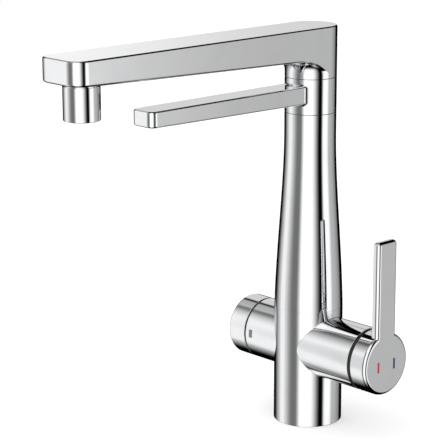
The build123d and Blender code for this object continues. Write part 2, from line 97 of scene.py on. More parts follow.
class Graph:
    # a node tree being written
    def __init__(self, tree):
        self.tree = tree
        tree.nodes.clear()

    def node(self, kind, settings=None, sockets=None, out=0):
        made = self.tree.nodes.new("ShaderNode" + kind)
        for key, value in (settings or {}).items():
            setattr(made, key, value)
        for key, value in (sockets or {}).items():
            if isinstance(value, Wire):
                self.tree.links.new(value.socket, made.inputs[key])
            else:
                made.inputs[key].default_value = value
        return Wire(self, made.outputs[out]) if made.outputs else None

    def fade(self, value, low, high, start=0.0, end=1.0):  # smooth step from start to end
        return self.node("MapRange", {"interpolation_type": "SMOOTHSTEP"},
                         {"Value": value, "From Min": low, "From Max": high, "To Min": start, "To Max": end})

    def blend(self, amount, first, second):  # two colours
        return self.node("Mix", {"data_type": "RGBA"}, {0: amount, 6: (*first, 1), 7: (*second, 1)}, out=2)


def material(name, build):  # build(graph) wires the shader
    made = bpy.data.materials.new(name)
    made.use_nodes = True
    graph = Graph(made.node_tree)
    graph.node("OutputMaterial", None, {"Surface": build(graph)})
    return made


# ---------- materials ----------
def speckle(graph, scale, detail=2.0, stretch=(1, 1, 1)):
    # noise on Object coordinates, stretched along the axes
    place = graph.node("TexCoord", None, None, out=3)
    place = graph.node("Mapping", None, {"Vector": place, "Scale": stretch})
    return graph.node("TexNoise", None, {"Vector": place, "Scale": scale, "Detail": detail})


def shade(colour, level):
    return tuple(level * part for part in colour)


plating = {"clean": (0.90, 0.905, 0.915), "hazy": (0.86, 0.865, 0.875), "polish": 0.022, "haze": 0.025,
           "hazeScale": 60.0, "hazeFrom": 0.45, "hazeTo": 0.8, "waveScale": 28.0, "wave": 0.000012}
turning = {"ringScale": 900.0, "stretch": (1, 1, 6), "valley": 0.82, "spread": 0.12, "strength": 0.25,
           "depth": 0.00005}
moulding = {"mottleScale": 120.0, "dark": 0.9, "light": 1.08, "spread": 0.1, "grainScale": 1800.0,
            "strength": 0.3, "ior": 1.49}
glazing = {"flowScale": 400.0, "dark": 0.92, "light": 1.05, "roughness": 0.28, "spread": 0.08,
           "strength": 0.2, "depth": 0.00003}


def surface(graph, tone, roughness, height, strength, depth, more):
    # principled shader, its normal tipped by a field of heights
    lie = graph.node("Bump", None, {"Height": height, "Strength": strength, "Distance": depth})
    more = {"Base Color": tone, "Roughness": roughness, "Normal": lie, **more}
    return graph.node("BsdfPrincipled", None, more)


def chromePlate(graph):
    # polished plating: near white metal, a trace of haze in patches, and a polished casting's slow waviness
    look = plating
    haze = graph.fade(speckle(graph, look["hazeScale"], 4.0), look["hazeFrom"], look["hazeTo"])
    tone = graph.blend(haze, look["clean"], look["hazy"])
    return surface(graph, tone, haze * look["haze"] + look["polish"], speckle(graph, look["waveScale"], 1.0),
                   1.0, look["wave"], {"Metallic": 1.0})


def turnedMetal(colour, roughness):
    # machined bar: fine rings left by the tool
    def build(graph):
        look = turning
        rings = speckle(graph, look["ringScale"], 3.0, look["stretch"])
        tone = graph.blend(rings, shade(colour, look["valley"]), colour)
        return surface(graph, tone, rings * look["spread"] + roughness, rings, look["strength"], look["depth"],
                       {"Metallic": 1.0})
    return build


def mouldedPlastic(colour, roughness, grain):
    # moulded or lapped surface: faint mottling and a fine eroded grain
    def build(graph):
        look = moulding
        mottle = speckle(graph, look["mottleScale"], 3.0)
        tone = graph.blend(mottle, shade(colour, look["dark"]), shade(colour, look["light"]))
        return surface(graph, tone, mottle * look["spread"] + roughness, speckle(graph, look["grainScale"]),
                       look["strength"], grain, {"IOR": look["ior"]})
    return build


def enamel(colour):
    # hard enamel let into the chrome, slightly uneven in its flow
    def build(graph):
        look = glazing
        flow = speckle(graph, look["flowScale"])
        tone = graph.blend(flow, shade(colour, look["dark"]), shade(colour, look["light"]))
        return surface(graph, tone, flow * look["spread"] + look["roughness"], flow, look["strength"],
                       look["depth"], {})
    return build


finishes = {
    "chrome": material("chromePlate", chromePlate),
    "brass": material("machinedBrass", turnedMetal((0.78, 0.62, 0.34), 0.22)),
    "steel": material("turnedSteel", turnedMetal((0.66, 0.66, 0.67), 0.24)),
    "rubber": material("sealRubber", mouldedPlastic((0.022, 0.022, 0.023), 0.55, 0.00002)),
    "black_plastic": material("blackAcetal", mouldedPlastic((0.012, 0.012, 0.013), 0.42, 0.00001)),
    "white_plastic": material("paleNylon", mouldedPlastic((0.66, 0.66, 0.63), 0.4, 0.00001)),
    "ceramic": material("lappedCeramic", mouldedPlastic((0.80, 0.80, 0.77), 0.12, 0.000004)),
    "red": material("redEnamel", enamel((0.50, 0.045, 0.045))),
    "blue": material("blueEnamel", enamel((0.035, 0.045, 0.15))),
    "grey": material("greyEnamel", enamel((0.20, 0.20, 0.205))),
}
for part in frame["record"]["subparts"]:
    nodeMesh = frame["nodes"][part["node"]].data
    nodeMesh.materials.clear()
    nodeMesh.materials.append(finishes[part["material_slot"]])
print("finishes:", len(finishes))


# ---------- surfaces ----------
meshing = {"arcStep": 11 * deg, "ringSteps": 72, "weldCells": 9973.7, "weldShift": 0.317}
fullTurn = np.linspace(0, 2 * math.pi, 2 * meshing["ringSteps"] + 1)
halfSteps = fullTurn[::2]
upright = (np.eye(3), np.zeros(3))
backward, upward = np.array([0, 1.0, 0]), np.array([0, 0, 1.0])
mirrorX = np.array([-1, 1, 1])


def unit(vectors):
    return vectors / np.linalg.norm(vectors, axis=-1, keepdims=True)


def polar(a, radius=1.0, h=0.0):  # (radius cos a, radius sin a, h)
    return np.stack(np.broadcast_arrays(radius * np.cos(a), radius * np.sin(a), h), axis=-1)


def pairs(first, second):  # points of two coordinates, either of which may be one number
    return np.stack(np.broadcast_arrays(first, second), axis=-1)


def grid(points, normals):
    # quads between neighbouring rows and columns of a grid of points, with the surface normals at their corners
    def corners(a):
        return np.stack((a[:-1, :-1], a[1:, :-1], a[1:, 1:], a[:-1, 1:]), axis=2).reshape(-1, 4, 3)
    return corners(points), corners(np.broadcast_to(normals, points.shape))


def flatFace(loops, normal):
    # triangles of the plane inside the first loop of points and outside the others, which are holes: a triangle
    # stays if a line from its middle crosses the loops an odd number of times
    points = np.concatenate(loops)
    flat = points[:, [axis for axis in range(3) if axis != int(np.argmax(np.abs(normal)))]]
    starts = np.cumsum([0] + [len(loop) for loop in loops])
    edges = [(a + i, a + (i + 1) % (b - a)) for a, b in zip(starts[:-1], starts[1:]) for i in range(b - a)]
    cut = delaunay_2d_cdt([Vector(p) for p in flat], edges, [], 0, 1e-6, True)
    source = np.array([ids[0] for ids in cut[3]])
    triangles = source[np.array(cut[2])]
    x, y = flat[triangles].mean(axis=1).T[:, :, None]
    (ax, ay), (bx, by) = flat[np.array(edges)].transpose(1, 2, 0)
    crossing = ((ay > y) != (by > y)) & (x < ax + (y - ay) * (bx - ax) / np.where(by == ay, 1, by - ay))
    triangles = points[triangles[crossing.sum(axis=1) % 2 == 1]]
    corners = np.concatenate((triangles, triangles[:, 2:]), axis=1)
    return corners, np.broadcast_to(normal, corners.shape)


def profile(corners, closed=False):
    # line in the (radius, height) plane. Each corner is (radius, height, rounding): straight between corners,
    # and at each an arc of that rounding, tangent to both sides. Outwards is to the right of the way it runs.
    where = np.array([c[:2] for c in corners], float)
    count = len(where)
    points, normals = [], []
    for i, corner in enumerate(corners):
        before = unit(where[i] - where[i - 1])
        after = unit(where[(i + 1) % count] - where[i])
        if not closed and i == 0:
            before = after
        if not closed and i == count - 1:
            after = before
        turn = math.atan2(before[0] * after[1] - before[1] * after[0], before @ after)
        if abs(turn) < 1e-9:
            angles = np.zeros(1)
        else:
            steps = math.ceil(abs(turn) / meshing["arcStep"]) if corner[2] else 1
            angles = np.linspace(0, turn, steps + 1)
        start = math.atan2(-before[0], before[1])
        facing = np.stack((np.cos(start + angles), np.sin(start + angles)), axis=1)
        side = 1 if turn > 0 else -1
        centre = where[i] - before * corner[2] * math.tan(abs(turn) / 2) - side * corner[2] * facing[0]
        points.append(centre + side * corner[2] * facing)
        normals.append(facing)
    if closed:
        points.append(points[0][:1])
        normals.append(normals[0][:1])
    return np.concatenate(points), np.concatenate(normals)


def put(patch, place):  # a patch turned and shifted by a place, which is (rotation, origin)
    return patch[0] @ place[0].T + place[1], patch[1] @ place[0].T


def spin(line, angles=fullTurn, place=upright):
    # a profile carried round the height axis: (r cos a, r sin a, h)
    points, normals = (polar(angles, a[:, :1], a[:, 1:]) for a in line)
    return put(grid(points, normals), place)


def holedPanel(radius, angles, heights, hole, t=None, rows=4):
    # part of a cylinder between two angles and two heights, with a hole in it: rows of points run straight, in
    # (angle, height), from the hole's rim to the panel's edge. hole(t) gives the rim's angle and height.
    edge = np.concatenate((pairs(angles, heights[0]), pairs(angles[-1], heights)[1:],
                           pairs(angles[::-1], heights[-1])[1:], pairs(angles[0], heights[::-1])[1:]))
    rimAngles, rimHeights = hole(np.linspace(0, 2 * math.pi, 361))
    middle = np.array([(rimAngles.min() + rimAngles.max()) / 2, (rimHeights.min() + rimHeights.max()) / 2])
    away = (edge - middle) / (np.array([np.ptp(rimAngles), np.ptp(rimHeights)]) / 2)
    t = np.arctan2(away[:, 0], away[:, 1]) if t is None else t
    rim = np.stack(hole(t), axis=1)
    share = np.linspace(0, 1, rows)[:, None, None]
    at = rim * (1 - share) + edge * share
    return grid(polar(at[..., 0], radius, at[..., 1]), polar(at[..., 0])), t


def mirrored(patches):  # to the other side of the plane x = 0
    return [(points * mirrorX, normals * mirrorX) for points, normals in patches]


def circle(radius, centre=(0, 0, 0)):
    return polar(halfSteps[:-1], radius) + centre


def blindHole(radius, y, roof, levelAt):
    # round hole up into a sloping underside, which lies at levelAt(y): its wall runs straight up to a flat roof
    rim = circle(radius, (0, y, 0))
    rim[:, 2] = levelAt(rim[:, 1])
    loop = np.concatenate((rim, rim[:1]))
    wall = np.stack((loop, loop * [1, 1, 0] + [0, 0, roof]))
    return rim, [grid(wall, -unit((loop - [0, y, 0]) * [1, 1, 0])), flatFace([wall[1][:-1]], -upward)]


def piece(name, patches, body, slotName, replaced):
    # one closed mesh from its patches: equal corners are joined, faces turned outwards, the exact normals kept.
    # Corners are equal in one cell of a fine lattice, shifted so that no round size lies between two cells.
    points = np.concatenate([p[0] for p in patches]).reshape(-1, 3)
    normals = np.concatenate([p[1] for p in patches]).reshape(-1, 4, 3)
    keys = np.floor(points * meshing["weldCells"] + meshing["weldShift"]).astype(np.int64)
    _, first, index = np.unique(keys, axis=0, return_index=True, return_inverse=True)
    faces = index.reshape(-1, 4)
    a, b, c, d = np.swapaxes(points[first][faces], 0, 1)
    inward = np.einsum("ij,ij->i", np.cross(c - a, d - b), normals.sum(axis=1)) < 0
    faces[inward] = faces[inward, ::-1]
    normals[inward] = normals[inward, ::-1]
    kept = faces != np.roll(faces, 1, axis=1)
    solid = kept.sum(axis=1) > 2
    faces, normals, kept = faces[solid], normals[solid], kept[solid]
    counts = kept.sum(axis=1)
    mesh = bpy.data.meshes.new(name)
    mesh.vertices.add(len(first))
    mesh.vertices.foreach_set("co", (points[first] * mm).astype(np.float32).ravel())
    mesh.loops.add(int(counts.sum()))
    mesh.loops.foreach_set("vertex_index", faces[kept].astype(np.int32))
    mesh.polygons.add(len(faces))
    mesh.polygons.foreach_set("loop_start", np.concatenate(([0], np.cumsum(counts)[:-1])).astype(np.int32))
    mesh.polygons.foreach_set("use_smooth", np.ones(len(faces), bool))
    mesh.update(calc_edges=True)
    mesh.normals_split_custom_set(unit(normals[kept]).tolist())
    mesh.materials.append(finishes[slotName])
    made = addObject(name, mesh)
    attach(made, body)
    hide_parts(replaced)
    print(f"{name}: {len(faces)} faces")




# ---------- the frame's own sizes ----------
columnLow, columnHigh = nodeBox("column_shell")
collarLow, collarHigh = nodeBox("filter_collar")
spoutLow, spoutHigh = nodeBox("main_spout")
capLow, capHigh = nodeBox("handle_cap")
knobLow, knobHigh = nodeBox("filter_knob")
leverHigh = nodeBox("lever")[1]
bodyLow, bodyHigh = nodeBox("base_body")
thinLow, thinHigh = nodeBox("filter_spout")
nozzleLow, nozzleHigh = nodeBox("aerator_housing")
footR = bodyHigh[1]
seamZ = columnLow[2]
columnTop = columnHigh[2]
columnR = collarHigh[1]
axisZ = (capLow[2] + capHigh[2]) / 2
neckR = capHigh[1]
mixerSide = (np.array([[0, 0, 1], [0, 1, 0], [-1, 0, 0]], float), np.array([0, 0, axisZ]))
filterSide = (np.array([[0, 0, -1], [0, 1, 0], [1, 0, 0]], float), np.array([0, 0, axisZ]))

# ---------- lower body ----------
lowerBody = {"saddle": 0.4, "rim": 0.3, "foot": 0.5, "seam": 0.12, "spigot": 2.24, "spigotRise": 6.5,
             "mouth": 0.4, "mixerBore": (21.0, 51.0, 17.5, 17.0), "filterBore": (20.5, 34.0, 9.1, 20.0),
             "groove": (20.5, 24.5, 1.5), "inlets": ((9.5, -9.5), (9.5, 9.5), (-13.0, 0.0)),
             "inletR": 4.5, "inletDepth": 12.0, "pitch": 1.0, "threadDepth": 0.35, "drillR": 2.5,
             "drillDepth": 40.0, "studs": ((-3.5, -12.5), (-3.5, 12.5)), "studR": 2.5, "studDepth": 14.0,
             "studPoint": 1.2}


def sideNeck(size, reach, bore):
    # a neck crossing the round body. A ball rolls in the corner between them, its centre one radius from both.
    # It touches each at the point nearest to that centre, and the fillet is the arc between the two points. The
    # bore is (wide radius, where it stops, narrow radius, where it stops), counted from the body's axis
    ball = size["saddle"]

    def centre(t):  # of the ball, local: x down, y across, z outwards
        y = (neckR + ball) * np.sin(t)
        return -(neckR + ball) * np.cos(t), y, np.sqrt((footR + ball) ** 2 - y * y)

    def rim(t):  # angle about the body's axis, and height
        x, y, z = centre(t)
        return np.arctan2(y, z), axisZ - x

    angles = np.linspace(-90, 90, 73) * deg
    heights = np.linspace(size["foot"], seamZ - size["seam"], 33)
    panel, t = holedPanel(footR, angles, heights, rim, rows=11)
    x, y, z = centre(t)
    toNeck = np.stack((np.cos(t), -np.sin(t), 0 * t), axis=1)
    toBody = -np.stack((0 * t, y, z), axis=1) / (footR + ball)
    span = np.arccos(np.clip(np.sum(toNeck * toBody, axis=1), -1, 1))
    share = np.linspace(0, 1, 8)[:, None]
    turn = np.sin((1 - share) * span)[..., None] * toNeck + np.sin(share * span)[..., None] * toBody
    turn = turn / np.sin(span)[..., None]
    fillet = grid(np.stack((x, y, z), axis=1) + ball * turn, -turn)
    outward = -toNeck
    run = np.linspace(0, 1, 6)[:, None]
    neck = grid(neckR * outward + (z * (1 - run) + (reach - size["rim"]) * run)[..., None] * upward, outward)
    wide, shelf, narrow, floor = bore
    end = profile([(neckR, reach - size["rim"], 0), (neckR, reach, size["rim"]), (wide, reach, size["mouth"]),
                   (wide, shelf, 0), (narrow, shelf, 0), (narrow, floor, 0), (0, floor, 0)])
    end = spin(end, np.arctan2(outward[:, 1], outward[:, 0]), mixerSide)
    return [panel, put(fillet, mixerSide), put(neck, mixerSide), end]


def threadedInlet(size, x, y):
    # internal screw thread: the wall waves in and out with height and angle, one pitch a turn
    h = np.linspace(0, size["inletDepth"], 97)[:, None]
    wave = np.abs((h / size["pitch"] - halfSteps / (2 * math.pi)) % 1.0 * 2 - 1)
    lead = np.clip(np.minimum(h, size["inletDepth"] - h) / size["pitch"], 0, 1)
    r = size["inletR"] + size["threadDepth"] * wave * lead
    normals = -polar(halfSteps, 1.0, 0 * h)
    normals[..., 2] = np.gradient(r, axis=0) / np.gradient(h, axis=0)
    drilled = profile([(size["inletR"], size["inletDepth"], 0), (size["drillR"], size["inletDepth"], 0),
                       (size["drillR"], size["drillDepth"], 0), (0, size["drillDepth"] + 1, 0)])
    shift = (np.eye(3), np.array([x, y, 0]))
    return [put(grid(polar(halfSteps, r, h), unit(normals)), shift), spin(drilled, halfSteps, shift)]


def makeLowerBody():
    # half a body for each side neck, a turned top and foot, and the flat underside with its holes
    size = lowerBody
    around = np.concatenate((np.linspace(-90, 90, 73), np.linspace(90, 270, 73)[1:])) * deg
    spigot, spigotTop = footR - size["spigot"], seamZ + size["spigotRise"]
    top = profile([(footR, seamZ - size["seam"], 0), (footR, seamZ, size["seam"]), (spigot, seamZ, 0.2),
                   (spigot, spigotTop, 0.5), (0, spigotTop, 0)])
    inner, outer, deep = size["groove"]
    foot = profile([(inner, 0, 0), (inner, deep, 0), (outer, deep, 0), (outer, 0, 0),
                    (footR, 0, size["foot"]), (footR, size["foot"], 0)])
    patches = sideNeck(size, bodyHigh[0], size["mixerBore"])
    patches += mirrored(sideNeck(size, -bodyLow[0], size["filterBore"]))
    patches += [spin(top, around), spin(foot, around)]
    floor = [polar(around[:-1], inner)]
    for x, y in size["inlets"]:
        floor.append(circle(size["inletR"], (x, y, 0)))
        patches += threadedInlet(size, x, y)
    for x, y in size["studs"]:
        floor.append(circle(size["studR"], (x, y, 0)))
        hole = profile([(size["studR"], 0, 0), (size["studR"], size["studDepth"], 0),
                        (0, size["studDepth"] + size["studPoint"], 0)])
        patches.append(spin(hole, halfSteps, (np.eye(3), np.array([x, y, 0]))))
    patches.append(flatFace(floor, -upward))
    piece("lowerBody", patches, "tap_body", "chrome", "base_body")


# ---------- column, collar ----------
column = {"wall": 2.0, "edge": 0.12, "flare": (2.84, -2.25, 0.41), "straight": 0.9, "margin": 1.0}
collar = {"innerR": 13.05, "mouth": 0.2, "edge": 0.12}


def makeColumn():
    # radius above the seam: top radius + flare, which is a u^2 + b u^3 + c u^4 of u, the share of height left
    size = column
    wall, edge = size["wall"], size["edge"]
    rise = (columnTop - seamZ) * size["straight"]
    scale = (footR - columnR) / sum(size["flare"])

    def radius(z):
        u = np.clip(1 - (z - seamZ) / rise, 0, 1)
        return columnR + scale * sum(k * u ** (i + 2) for i, k in enumerate(size["flare"]))

    low, high = seamZ + size["margin"], columnTop - size["margin"]
    z = np.linspace(low, high, 121)
    slope = np.gradient(radius(z), z, edge_order=2)
    outer, facing = pairs(radius(z), z), unit(pairs(1.0, -slope))
    foot = profile([(radius(seamZ) - wall, seamZ, 0), (radius(seamZ), seamZ, edge), (radius(low), low, 0)])
    top = profile([(radius(high), high, 0), (columnR, columnTop, edge), (columnR - wall, columnTop, 0)])
    inside = [[columnR - wall, columnTop]], outer[::-1] - [wall, 0], [[radius(seamZ) - wall, seamZ]]
    line = [np.concatenate((foot[0][:-1], outer, top[0][1:], *inside)),
            np.concatenate((foot[1][:-1], facing, top[1][1:], [[-1, 0]], -facing[::-1], [[-1, 0]]))]
    piece("columnShell", [spin(line)], "tap_body", "chrome", "column_shell")


def makeCollar():
    size, low, high = collar, collarLow[2], collarHigh[2]
    line = [(size["innerR"], low, size["mouth"]), (columnR, low, size["edge"]),
            (columnR, high, size["edge"]), (size["innerR"], high, size["mouth"])]
    piece("filterCollar", [spin(profile(line, closed=True))], "filter_swivel", "chrome", "filter_collar")


# ---------- arms ----------
armMesh = {"columns": 8, "cornerSteps": 15, "edgeSteps": 8, "webSteps": 13}
columnShare = np.arange(armMesh["columns"] + 1) / armMesh["columns"]
edgeTurn = np.linspace(0, 90, armMesh["edgeSteps"]) * deg


def armOutline(half, reach, corner, sideY):
    # right half of an arm seen from above: down the side, round the far corner, along the end to the middle
    a = np.linspace(0, 90, armMesh["cornerSteps"])[1:] * deg
    out = pairs(np.cos(a), -np.sin(a))
    bend = np.array([half - corner, corner - reach]) + corner * out
    points = np.concatenate((pairs(half, sideY), bend, pairs((half - corner) * columnShare[-2::-1], -reach)))
    normals = np.concatenate((np.tile([1.0, 0.0], (len(sideY), 1)), out,
                              np.tile([0.0, -1.0], (armMesh["columns"], 1))))
    return points, normals, len(sideY) + len(a)


mainArm = {"topEdge": 1.5, "lowEdge": 2.2, "corner": 11.0, "tipThick": 17.0, "rootThick": 24.4, "rise": 0.5,
           "spare": 0.6, "widen": 1.8, "web": 10.3, "entry": ((1, 0.15), (2.5, 0.4), (5, 0.75), (8.5, 0.95)),
           "entryEnd": 13.0, "socketR": 11.0, "socketTop": 292.5, "boreR": 14.0, "boreTop": 289.0,
           "boreMouth": 0.3, "legEdge": 0.12, "screwR": 2.5, "screwZ": 277.75, "screwDepth": 7.0, "panel": 14.0,
           "panelRise": 5.5}


def legBack(size, sides, wallZ, panelZ, lowZ):
    # back half of the leg, a cylinder, with the blind way of the stop screw, a circle laid on the cylinder
    inPanel = np.abs(sides - math.pi / 2) < size["panel"] * deg + 1e-6
    start, stop = np.flatnonzero(inPanel)[[0, -1]]
    nearScrew = sides[start:stop + 1]

    def straight(angles, heights):
        return grid(polar(angles[:, None], columnR, heights), polar(angles[:, None]))

    def screwRim(t):
        return (math.pi / 2 + np.arcsin(size["screwR"] * np.sin(t) / columnR),
                size["screwZ"] + size["screwR"] * np.cos(t))

    panel, t = holedPanel(columnR, nearScrew, panelZ[::-1], screwRim)
    angle, height = screwRim(t)
    mouth = polar(angle, columnR, height)
    end = mouth * [1, 0, 1] + [0, columnR - size["screwDepth"], 0]
    inwards = unit(mouth * backward + [0, 0, size["screwZ"]] - mouth)
    return [straight(sides[:start + 1], wallZ), straight(sides[stop:], wallZ), straight(nearScrew, wallZ[:2]),
            straight(nearScrew, wallZ[-2:]), straight(sides, lowZ), panel,
            grid(np.stack((mouth, end)), inwards), flatFace([end[:-1]], backward)]


def makeMainArm():
    # the outline from above is carried over a rounded top edge, down a wall, and round a lower edge to the
    # sloping underside. Every rounding is a quarter turn: centre + radius (cos s outwards + sin s up or down)
    size = mainArm
    half, top, legLow = columnR, spoutHigh[2] + size["rise"], spoutLow[2]
    reach = -spoutLow[1] + size["spare"]
    underZ = top - size["rootThick"]
    slope = (size["rootThick"] - size["tipThick"]) / (reach + 1)
    lean = math.atan(slope)
    down = np.array([0, -math.sin(lean), -math.cos(lean)])
    web, topEdge, lowEdge, legEnd = size["web"], size["topEdge"], size["lowEdge"], legLow + size["legEdge"]
    webZ = underZ - web
    # web: a quarter-round fillet turned about the leg, from its cylinder to the underside. The arm's flat side
    # cuts it off, so there it turns only as far as radius = half width / cos(bearing)
    full = math.acos(half / (half + web))
    steps = armMesh["webSteps"]
    legTurn = np.concatenate((np.linspace(0, full, steps), np.linspace(full, math.pi / 2, steps)[1:]))
    cutR = np.minimum(half + web, half / np.cos(legTurn))
    swing = np.arccos(np.clip((half + web - cutR) / web, -1, 1))
    turn = (swing[:, None] * np.linspace(0, 1, steps))[..., None]
    out = np.stack((np.cos(legTurn), -np.sin(legTurn), 0 * legTurn), axis=1)[:, None]
    level = (underZ + slope * (half + web) * np.sin(legTurn))[:, None, None]
    webGrid = out * (half + web * (1 - np.cos(turn))) + upward * (level - web * (1 - np.sin(turn)))
    right = [grid(webGrid, unit(np.cos(turn) * out + np.sin(turn) * down))]
    webEnd = webGrid[:steps, -1]
    # the outline, whose sides spread a little towards the tip: x grows with the share of the reach
    entry, entryShare = np.array(size["entry"]).T
    sideY = np.concatenate((webEnd[:, 1], webEnd[-1, 1] - entry,
                            np.linspace(webEnd[-1, 1] - size["entryEnd"], size["corner"] - reach, 24)))
    p, n, rowCount = armOutline(half, reach, size["corner"], sideY)
    n = np.column_stack((n, np.zeros(len(n))))
    spread = np.clip((-p[:, 1] - half - web) / (reach - half - web), 0, 1)
    p[:, 0] += size["widen"] * (spread * np.clip(p[:, 0] / (half - size["corner"]), 0, 1))
    edge = np.full(len(p), lowEdge)
    edge[:steps] = 0
    edge[steps:steps + len(entry)] = lowEdge * entryShare
    # top edge and top face, with the back quarter from the pole behind the leg to the side
    back = np.linspace(90, 0, 33) * deg
    behind = polar(back)
    rim = np.concatenate((half * behind[:, :2], p[1:]))
    rim = np.column_stack((rim, np.full(len(rim), top - topEdge)))
    rimOut = np.concatenate((behind, n[1:]))[:, None]
    s = edgeTurn[:, None]
    rounded = rim[:, None] + topEdge * ((np.cos(s) - 1) * rimOut + np.sin(s) * upward)
    right.append(grid(rounded, np.cos(s) * rimOut + np.sin(s) * upward))
    x, y, z = rounded[:len(back) - 1 + rowCount, -1].T[..., None]
    right.append(grid(np.stack(np.broadcast_arrays(x * columnShare, y, z), axis=2), upward))
    # lower edge: a quarter turn from the wall to the underside, its centre inside both; and the wall above it
    centre = np.column_stack((p, np.zeros(len(p)))) - edge[:, None] * n
    centre[:, 2] = underZ - slope * centre[:, 1] + edge / math.cos(lean)
    centre[:steps, 2] = webEnd[:, 2]
    facing = np.cos(s) * n[:, None] + np.sin(s) * down
    low = centre[:, None] + edge[:, None, None] * facing
    right.append(grid(low, unit(facing)))
    panelZ = np.linspace(size["screwZ"] + size["panelRise"], size["screwZ"] - size["panelRise"], 9)
    wallZ = np.concatenate(([top - topEdge], panelZ, [webZ]))
    share = ((wallZ[0] - wallZ) / (wallZ[0] - webZ))[None, :, None]
    upper = np.column_stack((p, np.full(len(p), top - topEdge)))[:, None]
    right.append(grid(upper * (1 - share) + low[:, :1] * share, n[:, None]))
    # front of the leg, from the web down
    drop = np.linspace(0, 1, 4)[None, :, None]
    legTop = webGrid[:, :1]
    right.append(grid(legTop * (1 - drop) + (legTop * [1, 1, 0] + [0, 0, legEnd]) * drop, out))
    patches = right + mirrored(right)
    # flat underside beyond the web, with the nozzle's socket
    edgeLine, legLine = low[steps - 1:, -1], webGrid[steps - 1:, -1]
    outline = np.concatenate((edgeLine, edgeLine[-2::-1] * mirrorX, legLine[1:] * mirrorX, legLine[-2:0:-1]))
    rim, hole = blindHole(size["socketR"], (nozzleLow[1] + nozzleHigh[1]) / 2, size["socketTop"],
                          lambda y: underZ - slope * y)
    patches += [flatFace([outline, rim], down)] + hole
    # back and foot of the leg, and the bore that the core fills
    sides = np.concatenate((back[::-1], math.pi - back[1:]))
    patches += legBack(size, sides, wallZ, panelZ, np.linspace(webZ, legEnd, 4))
    around = np.concatenate((-legTurn[::-1], sides[1:], math.pi + legTurn[1:]))
    foot = profile([(0, size["boreTop"], 0), (size["boreR"], size["boreTop"], 0),
                    (size["boreR"], legLow, size["boreMouth"]), (half, legLow, size["legEdge"]),
                    (half, legEnd, 0)])
    patches.append(spin(foot, around))
    piece("mainSpout", patches, "main_swivel", "chrome", "main_spout")


thinArm = {"half": 11.0, "edge": 1.5, "corner": 5.4, "tipThick": 11.4, "rootThick": 13.6, "rise": 0.4,
           "fillet": 2.0, "straightY": -32.0, "sunk": 0.4, "outletInset": 9.0, "outletR": 5.0,
           "outletTop": 255.0, "closeAt": 3.0}


